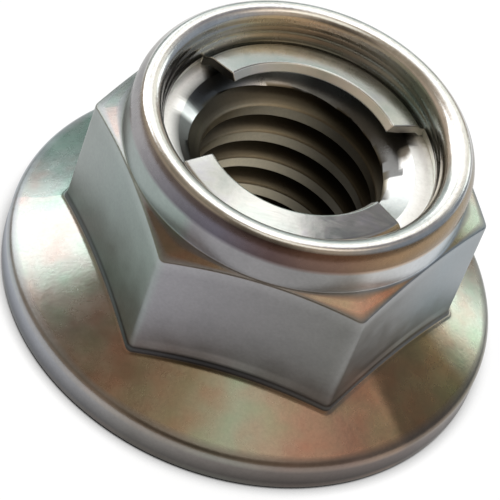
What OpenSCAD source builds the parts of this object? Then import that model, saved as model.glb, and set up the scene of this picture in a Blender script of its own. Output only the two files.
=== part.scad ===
// Hexagon flange nut with a clawed spring ring staked into its collar.
// Millimetres, +Z up along the thread, origin at the centre of the bearing face, hexagon corners on X.

/* [Thread] */
// Nominal thread diameter
thread_d = 7.94; // [7.5:0.02:8.4]
// Thread pitch
thread_pitch = 1.41; // [1.2:0.01:1.6]
// Height of the thread's ridges as a share of the sharp thread's height
ridge_share = 0.53; // [0.48:0.01:0.62]
// Amount by which the countersink in the bearing face is wider than the thread
sink_over = 0.75; // [0.4:0.05:1.5]
// Included angle of that countersink
sink_angle = 120; // [90:5:130]
// Amount by which the countersink under the ring is wider than the thread
lead_over = 0.7; // [0.3:0.05:0.8]
// Included angle of that countersink
lead_angle = 120; // [90:5:130]

/* [Flange] */
// Diameter of the flange
flange_d = 18.2; // [17.6:0.1:20]
// Height at which the flange's slope would meet its rim
rim_h = 1.3; // [1:0.05:1.6]
// Slope of the flange's upper face, in degrees
flange_slope = 25; // [15:1:30]
// Radius along the rim's upper edge
rim_round = 0.3; // [0.15:0.05:0.5]
// Radius along the edge of the bearing face
foot_round = 0.2; // [0.1:0.05:0.4]

/* [Hexagon] */
// Width across the flats
across_flats = 12.7; // [12.4:0.05:13.3]
// Amount by which the blunted corners are narrower than sharp ones, across the hexagon
corner_cut = 0.1; // [0.06:0.02:0.4]
// Slope of the chamfer that cuts the corners, in degrees
chamfer_slope = 25; // [15:1:30]

/* [Collar] */
// Width of the ledge between the flats and the collar
ledge_w = 0.09; // [0.06:0.005:0.2]
// Overall height of the nut
nut_h = 9.33; // [8.4:0.01:10.4]
// Height of the collar above the hexagon's corners
collar_h = 2.35; // [2.2:0.01:2.7]
// Radius of the shoulder that the staking rolls inwards
shoulder_round = 1; // [0.7:0.05:1.2]
// Angle through which the shoulder turns before the crest
shoulder_turn = 42; // [30:1:55]
// Radius of the crest's outer side
crest_round = 0.3; // [0.2:0.02:0.4]
// Width of the crest's flat top
crest_w = 0.11; // [0.04:0.01:0.16]
// Radius of the crest's inner side
mouth_round = 0.45; // [0.3:0.05:0.6]
// Width of the ring's edge that the lip holds down
lip_hold = 0.59; // [0.4:0.01:0.7]

/* [Spring ring] */
// Thickness of the ring's sheet
ring_t = 0.4; // [0.3:0.02:0.5]
// Depth of the ring's upper face below the crest
ring_depth = 1.18; // [1:0.02:1.3]
// Outer diameter of the ring
ring_d = 11.1; // [10.9:0.05:11.3]
// Radial play between the ring and its pocket
ring_play = 0.05; // [0.02:0.01:0.1]
// Distance by which the band between the claws lies back from the lip's edge
band_back = 0.06; // [0.02:0.01:0.1]
// Radial clearance between the claws' bend and the lip's edge
bend_clear = 0.03; // [0.02:0.01:0.08]
// Width of the bend that lifts the claws past the lip
bend_w = 0.32; // [0.25:0.01:0.45]
// Height of that bend
bend_h = 0.21; // [0.12:0.01:0.3]
// Height of the claws' edges above the band
claw_rise = 0.35; // [0.25:0.01:0.45]
// Radial reach of the claws inside the nominal thread
claw_reach = 0.35; // [0.2:0.01:0.5]
// Angle that each claw spans
claw_angle = 113; // [90:1:130]

/* [Hidden] */
$fn = 96;
// Segments in each rounded edge
arc_steps = 6;
// Overlap of shapes that are fused or cut
lap = 0.1;

thread_r = thread_d / 2;
// The bore lies at the crests of the thread's ridges
bore_r = thread_r - ridge_share * thread_pitch * cos(30);
sink_r = thread_r + sink_over / 2;
sink_depth = (sink_r - bore_r) / tan(sink_angle / 2);
lead_r = thread_r + lead_over / 2;
lead_depth = (lead_r - bore_r) / tan(lead_angle / 2);
flange_r = flange_d / 2;
flat_r = across_flats / 2;
sharp_r = flat_r / cos(30);
corner_r = sharp_r - corner_cut / 2;
corner_z = nut_h - collar_h;
collar_r = flat_r - ledge_w;
ring_r = ring_d / 2;
pocket_r = ring_r + ring_play;
throat_r = ring_r - lip_hold;
roof_z = nut_h - ring_depth;
seat_z = roof_z - ring_t;
band_r = throat_r + band_back;
bend_r = throat_r - bend_clear;
knee_r = bend_r - bend_w;
claw_r = thread_r - claw_reach;
claw_count = 2;
claw_pitch = 360 / claw_count;
gap_angle = claw_pitch - claw_angle;

zinc = [0.66, 0.65, 0.61];
stainless = [0.83, 0.84, 0.84];

// Points along a round edge about [x, z], from one angle to another
function round_edge(x, z, radius, from, to) =
  [for (i = [0:arc_steps]) let (a = from + (to - from) * i / arc_steps) [x + radius * cos(a), z + radius * sin(a)]];

// Height of the flange's sloping face at a radius
function slope_z(r) = rim_h + (flange_r - r) * tan(flange_slope);

// Height of the corner chamfer at a radius
function chamfer_z(r) = corner_z + (corner_r - r) * tan(chamfer_slope);

// Rim of the flange: round foot, straight side, round upper edge that runs into the slope
function rim_outline() =
  let (
    turn = 90 - flange_slope,
    upper_z = rim_h - rim_round * tan(turn / 2)
  )
  concat(
    round_edge(flange_r - foot_round, foot_round, foot_round, -90, 0),
    round_edge(flange_r - rim_round, upper_z, rim_round, 0, turn)
  );

// Collar from its outer wall over the rolled shoulder and the crest, and down the funnel to the ring
function collar_outline() =
  let (
    roll = shoulder_round - crest_round,
    shoulder_x = collar_r - shoulder_round,
    shoulder_z = nut_h - crest_round - roll * sin(shoulder_turn),
    crest_x = shoulder_x + roll * cos(shoulder_turn),
    mouth_x = crest_x - crest_w,
    funnel_turn = 90 + atan2(nut_h - roof_z, mouth_x - mouth_round - throat_r)
  )
  concat(
    round_edge(shoulder_x, shoulder_z, shoulder_round, 0, shoulder_turn),
    round_edge(crest_x, nut_h - crest_round, crest_round, shoulder_turn, 90),
    round_edge(mouth_x, nut_h - mouth_round, mouth_round, 90, funnel_turn),
    [[throat_r, roof_z]]
  );

// Pocket under the lip, upper countersink, bore and lower countersink, from the top down
function bore_outline() = [
  [pocket_r, roof_z],
  [pocket_r, seat_z],
  [lead_r, seat_z],
  [bore_r, seat_z - lead_depth],
  [bore_r, sink_depth],
  [sink_r, 0]
];

// Everything on the nut that is round
module turned_core() {
  rotate_extrude()
    polygon(concat(rim_outline(), [[collar_r, slope_z(collar_r)]], collar_outline(), bore_outline()));
}

// Hexagon with blunted corners, cut by the chamfer; its foot and its inside lie within the core
module hexagon_band() {
  inner_r = (bore_r + collar_r) / 2;
  foot_z = rim_h / 2;
  intersection() {
    linear_extrude(nut_h)
      circle(r = sharp_r, $fn = 6);
    rotate_extrude()
      polygon([
        [inner_r, foot_z],
        [corner_r, foot_z],
        [corner_r, corner_z],
        [collar_r - lap, chamfer_z(collar_r - lap)],
        [inner_r, corner_z]
      ]);
  }
}

module nut_body() {
  color(zinc)
    union() {
      turned_core();
      hexagon_band();
    }
}

// Section of the ring's sheet through a claw: flat under the lip, bent up past it, then almost level to the claw's edge
module claw_section() {
  polygon([
    [ring_r, seat_z],
    [ring_r, roof_z],
    [bend_r, roof_z],
    [knee_r, roof_z + bend_h],
    [claw_r, roof_z + claw_rise],
    [claw_r, seat_z + claw_rise],
    [knee_r, seat_z + bend_h],
    [bend_r, seat_z]
  ]);
}

// Space between two claws, from the axis out to the band
module claw_gap() {
  rotate([0, 0, -gap_angle / 2])
    rotate_extrude(angle = gap_angle)
      translate([0, seat_z - lap])
        square([band_r, ring_t + claw_rise + 2 * lap]);
}

module friction_ring() {
  color(stainless)
    difference() {
      rotate_extrude()
        claw_section();
      for (i = [0:claw_count - 1])
        rotate([0, 0, claw_pitch * i])
          claw_gap();
    }
}

nut_body();
friction_ring();
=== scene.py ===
import math

import bmesh
import bpy
from mathutils import Matrix, Vector


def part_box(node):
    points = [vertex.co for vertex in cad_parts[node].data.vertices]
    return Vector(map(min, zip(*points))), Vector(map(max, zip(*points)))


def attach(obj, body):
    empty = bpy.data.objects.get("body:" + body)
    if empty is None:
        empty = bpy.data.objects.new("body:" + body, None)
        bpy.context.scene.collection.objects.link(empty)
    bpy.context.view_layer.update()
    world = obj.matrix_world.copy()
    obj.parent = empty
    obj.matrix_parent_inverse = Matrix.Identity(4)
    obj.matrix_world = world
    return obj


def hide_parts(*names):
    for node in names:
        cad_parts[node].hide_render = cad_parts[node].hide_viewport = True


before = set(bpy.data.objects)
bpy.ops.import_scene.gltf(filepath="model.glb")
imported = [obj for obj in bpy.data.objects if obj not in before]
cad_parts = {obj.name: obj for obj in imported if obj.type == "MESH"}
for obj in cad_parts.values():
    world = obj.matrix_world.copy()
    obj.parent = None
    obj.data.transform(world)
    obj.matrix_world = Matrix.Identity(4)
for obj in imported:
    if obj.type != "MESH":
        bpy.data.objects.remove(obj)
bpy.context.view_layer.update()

MM = 0.001

# Sizes from the CAD nodes
nut_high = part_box("nut_body")[1]
ring_low, ring_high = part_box("friction_ring")
FLANGE_R = nut_high.x / MM
NUT_H = nut_high.z / MM
RING_R = ring_high.x / MM
SEAT_Z = ring_low.z / MM
CLAW_TOP = ring_high.z / MM

# Thread
THREAD_R = 3.97
PITCH = 1.41
RIDGE_SHARE = 0.53
FLANK_ANGLE = 30
BORE_R = THREAD_R - RIDGE_SHARE * PITCH * math.cos(math.radians(FLANK_ANGLE))
# Height of a ridge's middle above the bearing face at angle 0
RIDGE_START = 0.207
# Half of a ridge's width and the width of a flank, in turns of the helix
RIDGE_HALF = 0.1725
FLANK_W = 0.265
# How far a flank is straight, as a share; the rest of it runs smoothly into ridge and groove
FLANK_STRAIGHT = 0.65
# Places across half a pitch at which the thread's section is drawn, from ridge to groove
THREAD_STEPS = (0, 0.1, 0.16, 0.185, 0.22, 0.28, 0.34, 0.4, 0.43, 0.46)

# Countersinks, in the bearing face and, as a lead, in the ring's seat
SINK_OVER = 0.375
LEAD_OVER = 0.35
SINK_HALF_ANGLE = 60
SINK_R = THREAD_R + SINK_OVER
LEAD_R = THREAD_R + LEAD_OVER
SINK_SLOPE = math.tan(math.radians(SINK_HALF_ANGLE))
# Width of the narrow row round the lower countersink that keeps the countersink's painted shade off the face
SINK_BORDER = 0.02

# Flange
RIM_H = 1.3
SLOPE = 25
RIM_ROUND = 0.3
FOOT_ROUND = 0.2
FOOT_FILLET = 0.36
# Heights of the rows of the painted highlight strip on the flats, above the foot's fillet
STRIP_ROWS = (0.08, 0.16, 0.26, 0.4, 0.55)

# Hexagon
FLAT_R = 12.7 / 2
CORNER_ROUND = 0.33
# The corners' chamfer starts at this radius, this far below the nut's top
CHAMFER_R = 7.2823
COLLAR_H = 2.35
CORNER_Z = NUT_H - COLLAR_H
CHAMFER_EDGE = 0.09
LEDGE_FILLET = 0.08
# Widths of the ledge round the collar at which the chamfer's brown begins and is full
BROWN_FROM = 0.1
BROWN_FULL = 0.35

# Collar
LEDGE_W = 0.09
COLLAR_R = FLAT_R - LEDGE_W
SHOULDER_ROUND = 1.0
SHOULDER_TURN = 42
CREST_ROUND = 0.3
CREST_W = 0.11
MOUTH_ROUND = 0.45
LIP_ROUND = 0.04
# Rings that the staking tool leaves in the funnel: their depth, how many there are and where they start
STAKING_DEPTH = 0.018
STAKING_RINGS = 2.6
STAKING_START = 0.12

# Spring ring
RING_T = 0.4
RING_PLAY = 0.05
LIP_HOLD = 0.59
BAND_BACK = 0.06
BEND_CLEAR = 0.03
CLAW_REACH = 0.35
ROOF_Z = SEAT_Z + RING_T
POCKET_R = RING_R + RING_PLAY
THROAT_R = RING_R - LIP_HOLD
BAND_R = THROAT_R + BAND_BACK
BEND_R = THROAT_R - BEND_CLEAR
CLAW_R = THREAD_R - CLAW_REACH
CLAW_RISE = CLAW_TOP - ROOF_Z
CLAW_ANGLE = 113
CLAW_MIDDLES = (88.6, 271.6)
RING_EDGE = 0.05
# The sheet bends up over this width and climbs this share of the claws' rise there
BEND_W = 0.32
BEND_SHARE = 0.6
# The claws' inner edge leans inwards by this much, and its lower corner is worn up by this much
EDGE_LEAN = 0.22
EDGE_WEAR = 0.1
# Width of the claws' tip under which the sheet's lower side leans and is worn
TIP_W = 0.3

# Mesh columns at half a hexagon's corner and half a flat, and columns and rows of the ring
CORNER_COLUMNS = 4
FLAT_COLUMNS = 16
CLAW_COLUMNS = 66
GAP_COLUMNS = 40
CLAW_ROWS = 24
BAND_ROWS = 6
# Points closer than this are one point
SAME_POINT = 0.0002
# Edges that turn by more than this are shaded as sharp, and the ring's are rounded from the second angle on
SHARP_ANGLE = 28
BEVEL_ANGLE = 50

# What each part of the nut's surface is like: warm tint, burnish, slope or rim, thread
FACE = (0.3, 0.1, 0.0, 0.0)
RIM = (0.0, 0.0, 1.0, 0.0)
CONE = (1.0, 0.0, 1.0, 0.0)
FILLET = (0.1, 0.05, 0.0, 0.0)
FLAT = (0.0, 0.0, 0.0, 0.0)
EDGE = (0.4, 0.05, 0.8, 0.0)
BRINK = (0.0, 0.08, 0.0, 0.0)
CHAMFER = (1.0, 0.0, 1.0, 0.0)
WALL = (0.0, 0.05, 0.0, 0.0)
SHOULDER = (0.9, 0.0, 0.0, 0.0)
CREST = (0.05, 1.0, 0.0, 0.0)
FUNNEL = (0.9, 0.0, 0.0, 0.0)
# Burnish together with slope makes the seat bright but rough
POCKET = (0.0, 1.0, 0.5, 0.0)
LEAD = (0.0, 0.5, 0.0, 0.0)
THREAD = (0.6, 0.0, 0.0, 1.0)

# Painted light and shade on the surfaces, as factors on the tint: below 1 paints shade, above 1 paints light,
# and 1 leaves the tint as it is
FOOT_SHADE = 0.5
SLOPE_TOP_SHADE = 0.85
CREASE_SHADE = 0.3
STRIP_SHADE = 0.85
LEDGE_SHADE = 1.2
CHAMFER_SHADE = 0.75
WALL_FOOT_SHADE = 0.95
WALL_CORNER_DIM = 0.4
SHOULDER_SHADES = (0.45, 0.7)
CREST_SHADE = 0.75
# This many rows of the funnel's mouth are burnished like the crest
MOUTH_BRIGHT_ROWS = 7
# The funnel has three stretches, the first two of this many rows, with a first and a last painted shade for
# each
FUNNEL_ROWS = 5
FUNNEL_SHADES = ((1.0, 0.45), (0.45, 0.8), (0.7, 0.35))
LIP_SHADE = 0.3
POCKET_SHADE = 1.27
SINK_SHADE = 0.8
LEAD_SHADE = 0.25
THREAD_SHADE = 0.22
# Painted shade in the grooves: the thread is darker by this share from this depth below its ridges
GROOVE_DIM = 0.74
GROOVE_DEPTH = 0.12
# Tones of the ring's sheared edges, painted light and shade: the claws' inner edge and their start ends
# painted lighter, their far ends darker
EDGE_TONE = 1.9
START_TONE = 1.4
END_TONE = 0.2

# Stretches round the nut where the painted light or shade changes: the middle and the reach in degrees, and
# the change
RIM_DIM = (325, 60, -0.3)
CREASE_DIM = (262, 45, -0.17)
STRIP_FRONT = (270, 40, 0.5)
STRIP_RIGHT = (330, 34, 1.1)
FLAT_LIFT = (322, 24, 0.5)
CHAMFER_LIFT = (303, 25, 0.75)
WALL_LIFT = (325, 47, 1.7)
# The wall's painted light is cut off at this much
WALL_LIFT_MOST = 0.85
SHOULDER_LIFT = (205, 35, 0.4)
FUNNEL_LIFT = (137, 28, 0.8)
FUNNEL_DIM = (88, 45, -0.45)
THREAD_LIFT = (130, 72, 1.8)
LEAD_BACK = (117, 30, 1.5)
LEAD_GLINT = (174, 7, 2.2)
# The lead's painted light on the right: its start, its span at the thread, what the seat adds, and its lift
LEAD_RIGHT_START = -62
LEAD_RIGHT_SPAN = 72
LEAD_RIGHT_MORE = 18
LEAD_RIGHT_LIFT = 1.5
# The bright part fades over this angle, and widens within this distance of the thread's radius
LEAD_RIGHT_FADE = 2
LEAD_RIGHT_STEP = 0.05
# The staking is rounder on the right than elsewhere; this change is in millimetres
MOUTH_MORE = (5, 60, 0.2)

# Tints of the plating, partly the chromate's own colour and partly painted reflections, highlights and shade
# round the nut: how far round from the -X side, in turns, and the colour
FLAT_TINTS = (
    (0.0, (0.28, 0.31, 0.30)), (0.08, (0.27, 0.32, 0.31)), (0.16, (0.27, 0.33, 0.31)),
    (0.172, (0.285, 0.28, 0.30)), (0.25, (0.235, 0.23, 0.235)), (0.326, (0.18, 0.18, 0.17)),
    (0.342, (0.28, 0.28, 0.275)), (0.39, (0.29, 0.30, 0.31)), (0.45, (0.27, 0.31, 0.335)),
    (0.75, (0.27, 0.28, 0.28)), (1.0, (0.28, 0.31, 0.30)),
)
COLLAR_TINTS = (
    (0.0, (0.42, 0.41, 0.42)), (0.07, (0.40, 0.38, 0.39)), (0.125, (0.30, 0.28, 0.31)),
    (0.19, (0.22, 0.20, 0.25)), (0.245, (0.18, 0.11, 0.105)), (0.306, (0.34, 0.20, 0.14)),
    (0.37, (0.54, 0.34, 0.18)), (0.45, (0.55, 0.42, 0.26)), (0.56, (0.40, 0.42, 0.40)),
    (0.625, (0.28, 0.36, 0.31)), (0.694, (0.60, 0.62, 0.58)), (0.764, (0.85, 0.72, 0.56)),
    (0.83, (0.92, 0.82, 0.58)), (0.9, (0.9, 0.88, 0.8)), (1.0, (0.42, 0.41, 0.42)),
)
SLOPE_TINTS = (
    (0.0, (0.46, 0.47, 0.46)), (0.085, (0.43, 0.46, 0.44)), (0.12, (0.31, 0.29, 0.27)),
    (0.175, (0.43, 0.33, 0.25)), (0.22, (0.26, 0.21, 0.14)), (0.265, (0.33, 0.35, 0.28)),
    (0.305, (0.34, 0.24, 0.19)), (0.345, (0.42, 0.28, 0.21)), (0.38, (0.72, 0.44, 0.26)),
    (0.388, (0.30, 0.19, 0.11)), (0.455, (0.34, 0.26, 0.13)), (0.485, (0.54, 0.52, 0.40)),
    (0.515, (0.60, 0.65, 0.56)), (0.57, (0.42, 0.43, 0.39)), (0.93, (0.30, 0.37, 0.35)),
    (0.965, (0.36, 0.42, 0.41)),
)
RIM_TINTS = (
    (0.0, (0.28, 0.32, 0.39)), (0.12, (0.30, 0.31, 0.34)), (0.2, (0.21, 0.20, 0.19)),
    (0.3, (0.14, 0.12, 0.11)), (0.42, (0.13, 0.10, 0.09)), (0.55, (0.24, 0.24, 0.23)),
    (1.0, (0.28, 0.32, 0.39)),
)
# Tints that a noise spreads over a surface: pink and green in the chromate, and the sheet's greys
FILM_TINTS = ((0.28, (1.0, 0.82, 0.8)), (0.5, (0.94, 0.94, 0.93)), (0.72, (0.84, 1.0, 0.93)))
SHEET_TINTS = ((0.3, (0.44, 0.48, 0.46)), (0.55, (0.52, 0.53, 0.51)), (0.75, (0.50, 0.50, 0.53)))
BURNISH_TINT = (0.78, 0.78, 0.77, 1)
THREAD_TINT = (0.48, 0.43, 0.32, 1)

# Noise that makes the metal uneven: its scale a millimetre, the range of it that counts, and its shades
PATCH_SCALE = 0.9
GRAIN_SCALE = 8.0
WOBBLE_SCALE = 0.35
FILM_SCALE = 0.75
NOISE_RANGE = (0.3, 0.7)
SCRATCH_RANGE = (0.4, 0.7)
PATCH_SHADES = (0.9, 1.08)
GRAIN_SHADES = (0.94, 1.05)
# The most that the tints wander, from one side to the other, and the depth of the unevenness, in millimetres
WOBBLE = 1.4
PATCH_DEPTH = 0.006
GRAIN_DEPTH = 0.0025
SHEET_DEPTH = 0.008
SCRATCH_DEPTH = 0.001
# Scratches in the sheet: the way they run, in radians, and how they are drawn out
SCRATCH_TURN = 0.5
SCRATCH_SCALE = (1.5, 22.0, 6.0)
# Roughness of plating and sheet, and what takes from it or adds to it
ZINC_ROUGH = (0.34, 0.42)
SHEET_ROUGH = (0.14, 0.2)
WARM_SMOOTHS = 0.12
BURNISH_SMOOTHS = 0.16
SEAT_ROUGHENS = 0.5
THREAD_ROUGHENS = 0.14
SCRATCH_ROUGHENS = 0.06
SHEARING_ROUGHENS = 0.3

# Table: half its side in metres, its whites, and the reach of the nut's contact shadow in millimetres
TABLE_HALF = 2.0
TABLE_WHITE = (0.85, 0.85, 0.85, 1)
TABLE_FAINT = (0.06, 0.06, 0.06, 1)
SHADOW_REACH = 8
# Shares of open space at which the shadow is full and gone
SHADOW_RANGE = (0.3, 0.68)
# Painted light: the table glows this much inside the bore, and the radii between which the glow ends
BORE_GLOW = 0.5
BORE_GLOW_END = (3.2, 3.8)

# Distance of the soft panels from the nut, in metres
PANEL_DISTANCE = 0.33
WHITE = (1.0, 1.0, 1.0)
# The panels: name, azimuths from +Y to +X and rises above the table in degrees, brightness and colour
PANELS = (
    ("window_left", (-62, -37), (22, 48), 2.8, WHITE),
    ("wall_left", (-37, -8), (24, 54), 1.4, WHITE),
    ("wall_back", (-8, 14), (26, 44), 0.5, (0.94, 1.0, 0.99)),
    ("wall_far", (14, 36), (26, 44), 0.85, (0.96, 1.0, 0.92)),
    ("skylight_left", (-24, -5), (44, 76), 0.65, (0.82, 0.95, 1.0)),
    ("skylight", (-5, 14), (44, 76), 1.9, WHITE),
    ("ceiling", (95, 205), (69, 90), 0.8, (0.98, 1.0, 0.92)),
    ("lamp_right", (78, 118), (58, 75), 0.75, (1.0, 0.84, 0.7)),
    ("window_right", (33, 48), (14, 30), 1.9, (0.93, 1.0, 0.96)),
)

# The room's colour, and its patches: direction, cosines at the patch's rim and where it is full, colour
ROOM_COLOUR = (0.44, 0.35, 0.265, 1)
ROOM_PATCHES = (
    ((-0.5, -0.1, 0.85), 0.86, 0.96, (0.28, 0.23, 0.17, 1)),
    ((0.95, 0.20, 0.30), 0.6, 0.9, (0.26, 0.29, 0.33, 1)),
    ((-0.2, 0.95, 0.2), 0.78, 0.93, (0.36, 0.42, 0.40, 1)),
    ((-0.07, -0.75, 0.66), 0.88, 0.97, (0.10, 0.08, 0.06, 1)),
    ((0.3, 0.48, 0.82), 0.965, 0.985, (0.20, 0.19, 0.21, 1)),
)


def clamp(value):
    """The value, held between 0 and 1."""
    return min(max(value, 0.0), 1.0)


def ease(t):
    """Smooth step from 0 to 1."""
    t = clamp(t)
    return t * t * (3 - 2 * t)


def away(angle, middle):
    """Degrees from a middle to an angle, between -180 and 180."""
    return (angle - middle + 180) % 360 - 180


def change(angle, stretch):
    """What a stretch round the nut adds at an angle: all of it at the middle, nothing from its reach on."""
    middle, reach, most = stretch
    return most * ease(1 - abs(away(angle, middle)) / reach)


def arc(x, z, radius, start, end, steps):
    """Points along a round edge about (x, z), from one angle to another, in degrees."""
    out = []
    for i in range(steps + 1):
        a = math.radians(start + (end - start) * i / steps)
        out.append((x + radius * math.cos(a), z + radius * math.sin(a)))
    return out


def between(p, q, steps):
    """Points that divide the line from p to q, without its ends."""
    return [(p[0] + (q[0] - p[0]) * i / steps, p[1] + (q[1] - p[1]) * i / steps) for i in range(1, steps)]


def slope_z(r):
    """Height of the flange's sloping face at a radius."""
    return RIM_H + (FLANGE_R - r) * math.tan(math.radians(SLOPE))


def chamfer_z(r):
    """Height of the hexagon's corner chamfer at a radius."""
    return CORNER_Z + (CHAMFER_R - r) * math.tan(math.radians(SLOPE))


def corner_reach():
    """Angle in radians from a corner to where its rounding runs into the flat."""
    half = math.radians(30)
    middle = (FLAT_R - CORNER_ROUND) / math.cos(half)
    return math.atan2(CORNER_ROUND * math.sin(half), middle + CORNER_ROUND * math.cos(half))


def hexagon_radius(angle):
    """Radius of the hexagon with rounded corners at an angle in degrees; a corner lies at 0."""
    off = math.radians(abs((angle + 30) % 60 - 30))
    half = math.radians(30)
    middle = (FLAT_R - CORNER_ROUND) / math.cos(half)
    if off < corner_reach():
        return middle * math.cos(off) + math.sqrt(CORNER_ROUND**2 - (middle * math.sin(off)) ** 2)
    return FLAT_R / math.cos(half - off)


def column_angles():
    """Angles of the nut's mesh columns, closer together at the hexagon's rounded corners."""
    reach = math.degrees(corner_reach())
    half = [reach * i / CORNER_COLUMNS for i in range(CORNER_COLUMNS)]
    half += [reach + (30 - reach) * i / FLAT_COLUMNS for i in range(FLAT_COLUMNS)]
    sector = half + [30] + [60 - a for a in reversed(half[1:])]
    return [60 * k + a for k in range(6) for a in sector]


def concave(z_at, wall_r, radius, steps):
    """Round inside corner where a sloping face meets a wall."""
    z = z_at(wall_r + radius) + radius / math.cos(math.radians(SLOPE))
    return arc(wall_r + radius, z, radius, 270 - SLOPE, 180, steps)


def convex(z_at, wall_r, radius, steps):
    """Round outside corner where a wall meets the sloping face above it."""
    turn = 90 - SLOPE
    z = z_at(wall_r) - radius * math.tan(math.radians(turn / 2))
    return arc(wall_r - radius, z, radius, 0, turn, steps)


def funnel_points(start, end, steps):
    """The staked funnel, with the shallow rings that the staking tool leaves."""
    dx, dz = end[0] - start[0], end[1] - start[1]
    length = math.hypot(dx, dz)
    out = []
    for i in range(1, steps):
        t = i / steps
        wave = math.sin(2 * math.pi * (STAKING_RINGS * t + STAKING_START))
        depth = STAKING_DEPTH * wave * math.sin(math.pi * t)
        out.append((start[0] + dx * t + depth * dz / length, start[1] + dz * t - depth * dx / length))
    return out


def shaded(points, surface, shade=1.0, last_shade=None):
    """Rows of one kind of surface, with a shade that may run from the first of them to the last.

    A row is a radius, a height, a surface and a shade, which paints light or shade on the surface's tint.
    """
    run = 0.0 if last_shade is None else last_shade - shade
    steps = max(len(points) - 1, 1)
    return [(r, z, surface, shade + run * i / steps) for i, (r, z) in enumerate(points)]


def flange_rows(angle, top):
    """Rows from the lower countersink over the bearing face and the rim to the slope's top, with painted
    shade on the foot, fading up the rim, and on the rim's upper edge at the right front.
    """
    foot = arc(FLANGE_R - FOOT_ROUND, FOOT_ROUND, FOOT_ROUND, -90, 0, steps=5)
    rim = convex(slope_z, FLANGE_R, RIM_ROUND, steps=7)
    sink, border = (SINK_R, 0), (SINK_R + SINK_BORDER, 0)
    rows = shaded([sink, border] + between(border, foot[0], steps=5), FACE)
    rows += shaded(foot, EDGE, FOOT_SHADE)
    rows += shaded(between(foot[-1], rim[0], steps=5), RIM, FOOT_SHADE, 1.0)
    rows += shaded(rim, EDGE, 1 + change(angle, RIM_DIM))
    rows += shaded(between(rim[-1], top, steps=10), CONE)
    return rows


def hexagon_rows(angle, hex_r, base, edge):
    """Rows of the fillet at the hexagon's foot and of a flat, up to the chamfer's edge.

    A painted shade darkens the crease along the foot, with a painted highlight strip above it that is
    brightest on the right, and the lower part of the right flat is painted lighter.
    """
    crease = len(base) // 2
    rows = shaded(base[:crease], CONE, 1.0, SLOPE_TOP_SHADE)
    rows += shaded(base[crease:], FILLET, CREASE_SHADE + change(angle, CREASE_DIM))
    strip = [(hex_r, base[-1][1] + h) for h in STRIP_ROWS]
    strip_light = 1 + change(angle, STRIP_FRONT) + change(angle, STRIP_RIGHT)
    rows += shaded(strip[:1], FLAT, STRIP_SHADE)
    rows += shaded(strip[1:-1], FLAT, strip_light)
    rows += shaded(strip[-1:], FLAT)
    rows += shaded(between(strip[-1], edge[0], steps=8), FLAT, 1 + change(angle, FLAT_LIFT), 1.0)
    rows += shaded(edge, BRINK)
    return rows


def wall_light(angle):
    """Painted light on the collar's wall, strongest at the right front and held at WALL_LIFT_MOST."""
    return 1 + min(change(angle, WALL_LIFT), WALL_LIFT_MOST)


def chamfer_rows(angle, hex_r, edge, ledge):
    """Rows of the chamfer and of the ledge's fillet at the collar.

    The chamfer is brown at the corners and as grey as the flats where it is only a narrow ledge. Its shade is
    painted: lighter along the narrow ledge, darker at the corners but lighter at the right front one, and
    darker on the ledge's fillet at the corners.
    """
    corner = clamp((hex_r - COLLAR_R - BROWN_FROM) / (BROWN_FULL - BROWN_FROM))
    surface = tuple(f + (c - f) * corner for f, c in zip(FLAT, CHAMFER))
    # Painted shade at the corners: darker than the flats, and painted lighter at the right front corner
    brown = CHAMFER_SHADE + change(angle, CHAMFER_LIFT)
    shade = LEDGE_SHADE + (brown - LEDGE_SHADE) * corner
    rows = shaded(between(edge[-1], ledge[0], steps=3), surface, shade)
    light = wall_light(angle)
    rows += shaded(ledge, WALL, (1 - WALL_CORNER_DIM * corner) * light, WALL_FOOT_SHADE * light)
    return rows


def collar_rows(angle, foot):
    """Rows of the collar's wall, its rolled shoulder and crest, and the funnel's round mouth, with painted
    light and shade on the wall, shoulder and crest.
    """
    roll = SHOULDER_ROUND - CREST_ROUND
    turn = math.radians(SHOULDER_TURN)
    shoulder_x = COLLAR_R - SHOULDER_ROUND
    shoulder_z = NUT_H - CREST_ROUND - roll * math.sin(turn)
    crest_x = shoulder_x + roll * math.cos(turn)
    shoulder = arc(shoulder_x, shoulder_z, SHOULDER_ROUND, 0, SHOULDER_TURN, steps=9)
    crest = arc(crest_x, NUT_H - CREST_ROUND, CREST_ROUND, SHOULDER_TURN, 90, steps=8)
    mouth_x = crest_x - CREST_W
    mouth_round = MOUTH_ROUND + change(angle, MOUTH_MORE)
    fall = math.degrees(math.atan2(NUT_H - ROOF_Z, mouth_x - mouth_round - THROAT_R))
    mouth = arc(mouth_x, NUT_H - mouth_round, mouth_round, 90, 90 + fall, steps=10)
    rows = shaded(between(foot, shoulder[0], steps=5), WALL, wall_light(angle))
    light = 1 + change(angle, SHOULDER_LIFT)
    rows += shaded(shoulder[:-1], SHOULDER, SHOULDER_SHADES[0] * light, SHOULDER_SHADES[1] * light)
    rows += shaded(crest, CREST, CREST_SHADE, 1.0)
    rows += shaded(mouth[:MOUTH_BRIGHT_ROWS], CREST)
    rows += shaded(mouth[MOUTH_BRIGHT_ROWS:], FUNNEL)
    return rows


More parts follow.
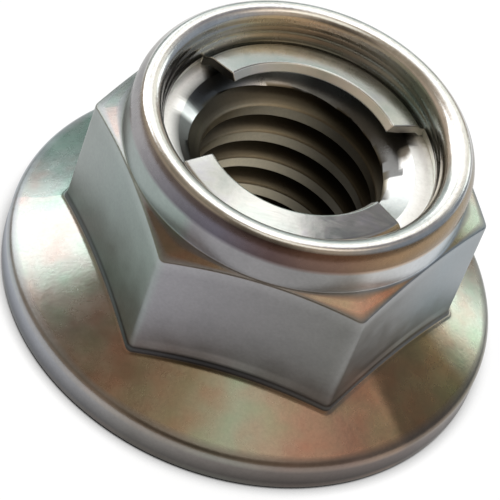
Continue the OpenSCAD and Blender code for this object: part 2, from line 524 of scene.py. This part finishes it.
def funnel_rows(angle, mouth_end):
    """Rows of the staked funnel and its lip, then of the pocket and the ring's seat, with painted bands of
    light and shade down the funnel, a painted dark lip and a painted bright seat.
    """
    lip = arc(THROAT_R + LIP_ROUND, ROOF_Z + LIP_ROUND, LIP_ROUND, 150, 270, steps=6)
    funnel = funnel_points(mouth_end, lip[0], steps=16)
    light = 1 + change(angle, FUNNEL_LIFT)
    dim = light + change(angle, FUNNEL_DIM)
    low = 2 * FUNNEL_ROWS
    stretches = ((funnel[:FUNNEL_ROWS], light), (funnel[FUNNEL_ROWS:low], dim), (funnel[low:], dim))
    rows = []
    for (points, level), (start, end) in zip(stretches, FUNNEL_SHADES):
        rows += shaded(points, FUNNEL, start * level, end * level)
    rows += shaded(lip, FUNNEL, LIP_SHADE)
    corner = (POCKET_R, SEAT_Z)
    seat = between(corner, (LEAD_R, SEAT_Z), steps=3)
    rows += shaded([(POCKET_R, ROOF_Z), corner] + seat, POCKET, POCKET_SHADE)
    return rows


def nut_section(angle):
    """Rows of the nut's outside at one angle, from the countersink to the ring's seat."""
    hex_r = hexagon_radius(angle)
    base = concave(slope_z, hex_r, FOOT_FILLET, steps=10)
    edge = convex(chamfer_z, hex_r, CHAMFER_EDGE, steps=4)
    ledge = concave(chamfer_z, COLLAR_R, LEDGE_FILLET, steps=4)
    rows = flange_rows(angle, base[0])
    rows += hexagon_rows(angle, hex_r, base, edge)
    rows += chamfer_rows(angle, hex_r, edge, ledge)
    rows += collar_rows(angle, ledge[-1])
    rows += funnel_rows(angle, rows[-1][:2])
    return rows


def thread_radius(angle, z):
    """Radius of the threaded hole at an angle and a height, without its countersinks."""
    climb = (z - RIDGE_START) / PITCH - angle / 360
    t = clamp((abs(climb - round(climb)) - RIDGE_HALF) / FLANK_W)
    return BORE_R + (THREAD_R - BORE_R) * (FLANK_STRAIGHT * t + (1 - FLANK_STRAIGHT) * ease(t))


def lead_shade(angle, r):
    """Painted shade of the upper countersink, with painted light on the right and at the back and a painted
    glint on the left.

    On the right the bright part reaches further round near the seat than near the thread.
    """
    off = away(angle, LEAD_RIGHT_START)
    wide = ease((r - THREAD_R + LEAD_RIGHT_STEP) / (2 * LEAD_RIGHT_STEP))
    span = LEAD_RIGHT_SPAN + LEAD_RIGHT_MORE * wide
    right = clamp(off / LEAD_RIGHT_FADE) * clamp((span - off) / LEAD_RIGHT_FADE)
    return LEAD_SHADE + LEAD_RIGHT_LIFT * right + change(angle, LEAD_BACK) + change(angle, LEAD_GLINT)


def thread_row(angle, climb):
    """A row's point in the threaded hole or its countersinks, so many turns up the helix."""
    z = RIDGE_START + PITCH * (climb + angle / 360)
    z = min(max(z, 0), SEAT_Z)
    r = thread_radius(angle, z)
    cut = max(SINK_R - z * SINK_SLOPE, LEAD_R - (SEAT_Z - z) * SINK_SLOPE)
    if cut > r:
        # The upper countersink gets painted light and shade, the lower one an even painted shade
        shade = lead_shade(angle, cut) if z > SEAT_Z / 2 else SINK_SHADE
        return (cut, z, LEAD, shade)
    # The thread is painted dark overall, darker still in the grooves, and painted lighter towards the back
    # left
    groove = clamp((r - BORE_R) / GROOVE_DEPTH)
    light = THREAD_SHADE + change(angle, THREAD_LIFT)
    return (r, z, THREAD, light * (1 - GROOVE_DIM * groove))


def row_faces(low, high, count):
    """Faces between two closed rows, given by the numbers of their first points."""
    out = []
    for j in range(count):
        k = (j + 1) % count
        out.append((low + j, low + k, high + k, high + j))
    return out


def helix_faces(first, rows, per_turn, count):
    """Faces between rows that climb with the helix: a row that goes once round ends one pitch higher."""
    out = []
    for i in range(rows - 1):
        for j in range(count):
            here = first + i * count + j
            if j + 1 < count:
                beside = here + 1
            elif i + 1 + per_turn < rows:
                beside = first + (i + per_turn) * count
            else:
                continue
            out.append((here, beside, beside + count, here + count))
    return out


def build(name, points, faces, zones=None, shades=None):
    """A mesh object from millimetre points, with coincident points joined and the faces turned outwards."""
    mesh = bpy.data.meshes.new(name)
    mesh.from_pydata([(x * MM, y * MM, z * MM) for x, y, z in points], [], faces)
    if zones:
        layer = mesh.attributes.new("surface", "FLOAT_COLOR", "POINT")
        layer.data.foreach_set("color", [c for zone in zones for c in zone])
        mesh.attributes.new("shade", "FLOAT", "POINT").data.foreach_set("value", shades)
    bm = bmesh.new()
    bm.from_mesh(mesh)
    bmesh.ops.remove_doubles(bm, verts=bm.verts, dist=SAME_POINT * MM)
    bmesh.ops.recalc_face_normals(bm, faces=bm.faces)
    bm.to_mesh(mesh)
    bm.free()
    mesh.polygons.foreach_set("use_smooth", [True] * len(mesh.polygons))
    mesh.set_sharp_from_angle(angle=math.radians(SHARP_ANGLE))
    obj = bpy.data.objects.new(name, mesh)
    bpy.context.scene.collection.objects.link(obj)
    return obj


def make_nut():
    """The nut as one closed skin: flange, hexagon, staked collar, pocket, thread and countersinks."""
    angles = column_angles()
    count = len(angles)
    sections = [nut_section(angle) for angle in angles]
    rows = [list(row) for row in zip(*sections)]
    faces = []
    for i in range(len(rows) - 1):
        faces += row_faces(i * count, (i + 1) * count, count)

    steps = list(THREAD_STEPS) + [0.5] + [1 - s for s in reversed(THREAD_STEPS[1:])]
    lowest = -math.ceil(RIDGE_START / PITCH) - 1
    highest = math.ceil((SEAT_Z - RIDGE_START) / PITCH) + 1
    helix = [k + s for k in range(lowest, highest + 1) for s in steps]
    first = len(rows) * count
    faces += helix_faces(first, len(helix), len(steps), count)
    # The seat's inner edge runs into the thread's upper end
    faces += row_faces(first - count, first + (len(helix) - 1) * count, count)
    rows += [[thread_row(angle, climb) for angle in angles] for climb in helix]

    points, zones, shades = [], [], []
    for row in rows:
        for angle, (r, z, zone, shade) in zip(angles, row):
            a = math.radians(angle)
            points.append((r * math.cos(a), r * math.sin(a), z))
            zones.append(zone)
            shades.append(shade)
    return build("nut_skin", points, faces, zones, shades)


def claw_lift(r):
    """Height of the sheet above the flat band at a radius: a bend, then a gentle slope."""
    bend = ease((BEND_R - r) / BEND_W)
    shelf = clamp((BEND_R - BEND_W - r) / (BEND_R - BEND_W - CLAW_R))
    return CLAW_RISE * (BEND_SHARE * bend + (1 - BEND_SHARE) * shelf)


def ring_columns():
    """Angles of the ring's mesh columns, and for each whether it belongs to a claw."""
    half = CLAW_ANGLE / 2
    # The gaps count as equal, so where the claws are closer together the band laps over itself, under the lip
    gap = 360 / len(CLAW_MIDDLES) - CLAW_ANGLE
    angles, in_claw = [], []
    for middle in CLAW_MIDDLES:
        angles += [middle - half + CLAW_ANGLE * i / CLAW_COLUMNS for i in range(CLAW_COLUMNS)]
        angles += [middle + half + gap * i / GAP_COLUMNS for i in range(GAP_COLUMNS)]
        in_claw += [True] * CLAW_COLUMNS + [False] * GAP_COLUMNS
    return angles, in_claw


def ring_points(angles, radii):
    """Points of the ring's upper side, then of its lower side, row by row."""
    points = []
    for base, lower in ((ROOF_Z, 0), (SEAT_Z, 1)):
        for r in radii:
            tip = lower * clamp(1 - (r - CLAW_R) / TIP_W)
            x = r - EDGE_LEAN * tip
            z = base + claw_lift(r) + EDGE_WEAR * tip
            points += [(x * math.cos(math.radians(a)), x * math.sin(math.radians(a)), z) for a in angles]
    return points


def ring_skin(in_claw, rows):
    """Faces of the ring with a tone for each: both sides of the sheet, and its edges where it ends, whose
    tones are painted light and shade.
    """
    count = len(in_claw)
    under = rows * count
    out = []

    def solid(i, j):
        return 0 <= i < rows - 1 and (i >= CLAW_ROWS or in_claw[j % count])

    for i in range(rows - 1):
        for j in range(count):
            if not solid(i, j):
                continue
            k = (j + 1) % count
            a, b, c, d = i * count + j, i * count + k, (i + 1) * count + k, (i + 1) * count + j
            out.append(((a, b, c, d), 1.0))
            out.append(((d + under, c + under, b + under, a + under), 1.0))
            # Edges where the sheet ends get tones of painted light or shade
            sides = (
                (solid(i - 1, j), a, b, EDGE_TONE), (solid(i + 1, j), d, c, 1.0),
                (solid(i, j - 1), a, d, START_TONE), (solid(i, j + 1), b, c, END_TONE),
            )
            out += [((p, q, q + under, p + under), tone) for joined, p, q, tone in sides if not joined]
    return out


def make_ring():
    """The spring ring: a flat band with two claws that bend up towards the bolt."""
    angles, in_claw = ring_columns()
    radii = [CLAW_R + (BAND_R - CLAW_R) * i / CLAW_ROWS for i in range(CLAW_ROWS)]
    radii += [BAND_R + (RING_R - BAND_R) * i / BAND_ROWS for i in range(BAND_ROWS + 1)]
    points = ring_points(angles, radii)
    skin = ring_skin(in_claw, len(radii))
    used = sorted({p for face, tone in skin for p in face})
    place = {p: i for i, p in enumerate(used)}
    faces = [tuple(place[p] for p in face) for face, tone in skin]
    obj = build("spring_ring", [points[p] for p in used], faces)
    layer = obj.data.attributes.new("tone", "FLOAT", "FACE")
    layer.data.foreach_set("value", [tone for face, tone in skin])
    bevel = obj.modifiers.new("edges", "BEVEL")
    bevel.width = RING_EDGE * MM
    bevel.segments = 3
    bevel.limit_method = "ANGLE"
    bevel.angle_limit = math.radians(BEVEL_ANGLE)
    return obj


class Tree:
    """A node tree that is being wired up."""

    def __init__(self, tree):
        self.tree = tree
        tree.nodes.clear()

    def wire(self, value, socket):
        """Links a node's output to a socket, or sets the socket to a plain value."""
        if isinstance(value, bpy.types.NodeSocket):
            self.tree.links.new(value, socket)
        else:
            socket.default_value = value

    def add(self, kind, inputs=None, **settings):
        """A new node with its settings and inputs."""
        node = self.tree.nodes.new(kind)
        for key, value in settings.items():
            setattr(node, key, value)
        for key, value in (inputs or {}).items():
            self.wire(value, node.inputs[key])
        return node

    def place(self):
        """Object coordinates in millimetres."""
        where = self.add("ShaderNodeTexCoord").outputs["Object"]
        return self.add("ShaderNodeMapping", {"Vector": where, "Scale": (1 / MM,) * 3}).outputs["Vector"]

    def mark(self, name):
        """Outputs of an attribute that the mesh carries."""
        return self.add("ShaderNodeAttribute", attribute_name=name).outputs

    def noise(self, where, scale, detail=3.0, rough=0.55):
        """Soft noise; its Fac is grey and its Color has three parts."""
        inputs = {"Vector": where, "Scale": scale, "Detail": detail, "Roughness": rough}
        return self.add("ShaderNodeTexNoise", inputs).outputs

    def turn(self, where):
        """How far round the nut's axis a place is, in turns from the -X side."""
        return self.add("ShaderNodeTexGradient", {"Vector": where}, gradient_type="RADIAL").outputs["Fac"]

    def stretch(self, value, low, high, to_low=0.0, to_high=1.0):
        """Maps a range of values to another, held at its ends."""
        names = ("Value", "From Min", "From Max", "To Min", "To Max")
        node = self.add("ShaderNodeMapRange", dict(zip(names, (value, low, high, to_low, to_high))))
        return node.outputs["Result"]

    def calc(self, operation, a, b=0.0):
        """A sum, product or the like of two values."""
        return self.add("ShaderNodeMath", {0: a, 1: b}, operation=operation).outputs[0]

    def vector(self, operation, a, b=(0, 0, 0)):
        """The same for vectors; the result is in Vector or, for a length or a dot product, in Value."""
        return self.add("ShaderNodeVectorMath", {0: a, 1: b}, operation=operation).outputs

    def mix(self, amount, a, b, blend="MIX"):
        """Two colours mixed, with no part of the result past 1."""
        node = self.add(
            "ShaderNodeMix", {0: amount, 6: a, 7: b}, data_type="RGBA", blend_type=blend, clamp_result=True,
        )
        return node.outputs[2]

    def ramp(self, value, stops):
        """The colour at a value, between stops that are a place and a colour."""
        node = self.add("ShaderNodeValToRGB", {"Fac": value})
        band = node.color_ramp.elements
        while len(band) < len(stops):
            band.new(0.5)
        for element, (at, colour) in zip(band, stops):
            element.position = at
            element.color = (*colour, 1)
        return node.outputs["Color"]

    def bump(self, height, depth, normal=None):
        """A normal that follows a height, with the depth in millimetres."""
        inputs = {"Height": height, "Distance": depth * MM, "Strength": 1.0}
        if normal is not None:
            inputs["Normal"] = normal
        return self.add("ShaderNodeBump", inputs).outputs["Normal"]

    def metal(self, colour, rough, normal):
        """Ends a material as bare metal."""
        skin = self.add("ShaderNodeBsdfPrincipled", {
            "Base Color": colour, "Metallic": 1.0, "Roughness": rough, "Normal": normal,
        })
        self.finish(skin.outputs["BSDF"])

    def finish(self, shader, kind="ShaderNodeOutputMaterial"):
        """Links the last shader to the tree's output."""
        self.tree.links.new(shader, self.add(kind).inputs["Surface"])


def new_material(name):
    """A material and its empty node tree."""
    made = bpy.data.materials.new(name)
    made.use_nodes = True
    return made, Tree(made.node_tree)


def plating_tint(t, where, warm, slope):
    """The plating's tint round the nut: grey flats and rim, brown and iridescent collar and slopes, with
    painted reflections, highlights and shade in the tints round the nut.
    """
    flats = t.ramp(t.turn(where), FLAT_TINTS)
    # All tints but the flats' wander a little
    wobble = t.noise(where, WOBBLE_SCALE, 3.0, 0.5)["Color"]
    shift = t.vector("SUBTRACT", wobble, (0.5, 0.5, 0.5))["Vector"]
    shift = t.vector("MULTIPLY", shift, (WOBBLE, WOBBLE, WOBBLE))["Vector"]
    turn = t.turn(t.vector("ADD", where, shift)["Vector"])
    plain = t.mix(warm, flats, t.ramp(turn, COLLAR_TINTS))
    flange = t.mix(warm, t.ramp(turn, RIM_TINTS), t.ramp(turn, SLOPE_TINTS))
    colour = t.mix(slope, plain, flange)
    film = t.ramp(t.noise(where, FILM_SCALE, 2.0, 0.5)["Fac"], FILM_TINTS)
    return t.mix(t.calc("MULTIPLY", warm, slope), colour, film, "MULTIPLY")


def zinc_material():
    """Zinc plate with a chromate tint, bright where it is burnished, with painted light and shade from its
    tints and the mesh's shade.
    """
    made, t = new_material("zinc_plate")
    where = t.place()
    zone = t.mark("surface")
    split = t.add("ShaderNodeSeparateColor", {"Color": zone["Color"]}).outputs
    warm, burnish, slope, thread = split["Red"], split["Green"], split["Blue"], zone["Alpha"]
    patch = t.noise(where, PATCH_SCALE, 4.0, 0.6)["Fac"]
    grain = t.noise(where, GRAIN_SCALE, 4.0, 0.6)["Fac"]

    colour = plating_tint(t, where, warm, slope)
    colour = t.mix(burnish, colour, BURNISH_TINT)
    colour = t.mix(thread, colour, THREAD_TINT)
    patchy = t.stretch(patch, *NOISE_RANGE, *PATCH_SHADES)
    grainy = t.stretch(grain, *NOISE_RANGE, *GRAIN_SHADES)
    # The mesh's shade paints light and shade on the tint, on top of the random patches and grain
    shade = t.calc("MULTIPLY", t.calc("MULTIPLY", patchy, grainy), t.mark("shade")["Fac"])
    colour = t.mix(1.0, colour, shade, "MULTIPLY")

    seat = t.calc("MULTIPLY", burnish, slope)
    rough = t.stretch(patch, *NOISE_RANGE, *ZINC_ROUGH)
    rough = t.calc("SUBTRACT", rough, t.calc("MULTIPLY", warm, WARM_SMOOTHS))
    rough = t.calc("SUBTRACT", rough, t.calc("MULTIPLY", burnish, BURNISH_SMOOTHS))
    rough = t.calc("ADD", rough, t.calc("MULTIPLY", seat, SEAT_ROUGHENS))
    rough = t.calc("ADD", rough, t.calc("MULTIPLY", thread, THREAD_ROUGHENS))
    normal = t.bump(grain, GRAIN_DEPTH, t.bump(patch, PATCH_DEPTH))
    t.metal(colour, rough, normal)
    return made


def stainless_material():
    """Bright stainless sheet with fine scratches; its sheared edges have tones of their own, which are
    painted light and shade.
    """
    made, t = new_material("stainless_sheet")
    where = t.place()
    tone = t.mark("tone")["Fac"]
    patch = t.noise(where, PATCH_SCALE, 4.0)["Fac"]
    drawn = t.add("ShaderNodeMapping", {
        "Vector": where, "Rotation": (0, 0, SCRATCH_TURN), "Scale": SCRATCH_SCALE,
    })
    scratch = t.noise(drawn.outputs["Vector"], 1.0, 3.0, 0.6)["Fac"]
    colour = t.mix(1.0, t.ramp(patch, SHEET_TINTS), tone, "MULTIPLY")
    rough = t.stretch(patch, *NOISE_RANGE, *SHEET_ROUGH)
    rough = t.calc("ADD", rough, t.stretch(scratch, *SCRATCH_RANGE, 0.0, SCRATCH_ROUGHENS))
    # A sheared edge is rougher the more its tone differs from the sheet's
    sheared = t.calc("ABSOLUTE", t.calc("SUBTRACT", tone, 1.0))
    rough = t.calc("ADD", rough, t.calc("MULTIPLY", sheared, SHEARING_ROUGHENS))
    normal = t.bump(scratch, SCRATCH_DEPTH, t.bump(patch, SHEET_DEPTH))
    t.metal(colour, rough, normal)
    return made


def table_material():
    """White table, lit evenly where it is seen or mirrored, with the nut's contact shadow.

    Inside the bore it glows half as bright, as painted light.
    """
    made, t = new_material("white_table")
    path = t.add("ShaderNodeLightPath").outputs
    seen = t.calc("MAXIMUM", path["Is Camera Ray"], path["Is Glossy Ray"])
    seen = t.calc("MAXIMUM", seen, path["Is Transmission Ray"])
    contact = t.add("ShaderNodeAmbientOcclusion", {"Distance": SHADOW_REACH * MM}, samples=16).outputs["AO"]
    shadow = t.stretch(contact, *SHADOW_RANGE)
    bore = t.stretch(t.vector("LENGTH", t.place())["Value"], *BORE_GLOW_END, BORE_GLOW, 0.0)
    level = t.calc("MAXIMUM", shadow, bore)
    glow = t.add("ShaderNodeEmission", {"Color": (1, 1, 1, 1), "Strength": level})
    faint = t.add("ShaderNodeBsdfDiffuse", {"Color": TABLE_FAINT})
    lit = t.add("ShaderNodeAddShader", {0: glow.outputs[0], 1: faint.outputs[0]})
    plain = t.add("ShaderNodeBsdfDiffuse", {"Color": TABLE_WHITE})
    both = t.add("ShaderNodeMixShader", {0: seen, 1: plain.outputs[0], 2: lit.outputs[0]})
    t.finish(both.outputs[0])
    return made


def make_table():
    """The table as one large square."""
    mesh = bpy.data.meshes.new("table")
    corners = [(x * TABLE_HALF, y * TABLE_HALF, 0) for x, y in ((-1, -1), (1, -1), (1, 1), (-1, 1))]
    mesh.from_pydata(corners, [], [(0, 1, 2, 3)])
    obj = bpy.data.objects.new("table", mesh)
    bpy.context.scene.collection.objects.link(obj)
    mesh.materials.append(table_material())


def make_panel(name, azimuths, rises, level, colour):
    """A soft panel that fills a range of directions from the nut, in degrees, with a face this bright."""
    azimuth, rise = math.radians(sum(azimuths) / 2), math.radians(sum(rises) / 2)
    half_w = PANEL_DISTANCE * math.cos(rise) * math.tan(math.radians(azimuths[1] - azimuths[0]) / 2)
    half_h = PANEL_DISTANCE * math.tan(math.radians(rises[1] - rises[0]) / 2)
    data = bpy.data.lights.new(name, "AREA")
    data.shape = "RECTANGLE"
    data.size = 2 * half_w
    data.size_y = 2 * half_h
    data.energy = level * math.pi * data.size * data.size_y
    data.color = colour
    obj = bpy.data.objects.new(name, data)
    bpy.context.scene.collection.objects.link(obj)
    way = Vector((math.cos(rise) * math.sin(azimuth), math.cos(rise) * math.cos(azimuth), math.sin(rise)))
    obj.location = way * PANEL_DISTANCE + Vector((0, 0, NUT_H / 2 * MM))
    obj.rotation_mode = "QUATERNION"
    obj.rotation_quaternion = way.to_track_quat("Z", "Y")
    obj.visible_camera = False


def make_room():
    """A warm room, mirrored in the metal.

    It is dark on the viewer's side, blue-grey to the right and grey low at the back.
    """
    world = bpy.data.worlds.new("room")
    bpy.context.scene.world = world
    world.use_nodes = True
    t = Tree(world.node_tree)
    way = t.add("ShaderNodeTexCoord").outputs["Generated"]
    colour = ROOM_COLOUR
    for direction, rim, full, patch in ROOM_PATCHES:
        cosine = t.vector("DOT_PRODUCT", way, Vector(direction).normalized())["Value"]
        colour = t.mix(t.stretch(cosine, rim, full), colour, patch)
    room = t.add("ShaderNodeBackground", {"Color": colour, "Strength": 1.0})
    t.finish(room.outputs[0], "ShaderNodeOutputWorld")


def make_camera():
    """The photograph's view, found by fitting the nut's outlines."""
    turn, rise, lean = math.radians(-5.738), math.radians(46.634), math.radians(21.315)
    distance = 135.17 * MM
    pixels, focal = 500, 3665.5
    # The origin is seen this far left of and below the picture's middle, in pixels
    off_x, off_y = 7.28, 41.85
    right = Vector((math.cos(turn), math.sin(turn), 0))
    front = Vector((math.sin(turn), -math.cos(turn), 0))
    up = Vector((0, 0, 1))
    tilted = math.cos(rise) * up - math.sin(rise) * front
    x = math.cos(lean) * right + math.sin(lean) * tilted
    y = -math.sin(lean) * right + math.cos(lean) * tilted
    back = math.cos(rise) * front + math.sin(rise) * up
    place = back * distance
    back = (back - x * (off_x / focal) - y * (off_y / focal)).normalized()
    x = (x - back * x.dot(back)).normalized()
    y = back.cross(x)
    data = bpy.data.cameras.new("camera")
    data.sensor_width = 36
    data.lens = focal / pixels * data.sensor_width
    data.clip_start, data.clip_end = 0.01, 10
    obj = bpy.data.objects.new("camera", data)
    bpy.context.scene.collection.objects.link(obj)
    obj.matrix_world = Matrix.Translation(place) @ Matrix((x, y, back)).transposed().to_4x4()
    bpy.context.scene.camera = obj


nut = make_nut()
nut.data.materials.append(zinc_material())
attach(nut, "root")
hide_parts("nut_body")

ring = make_ring()
ring.data.materials.append(stainless_material())
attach(ring, "root")
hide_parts("friction_ring")

make_table()
for panel in PANELS:
    make_panel(*panel)
make_room()
make_camera()
bpy.context.scene.view_settings.view_transform = "Standard"
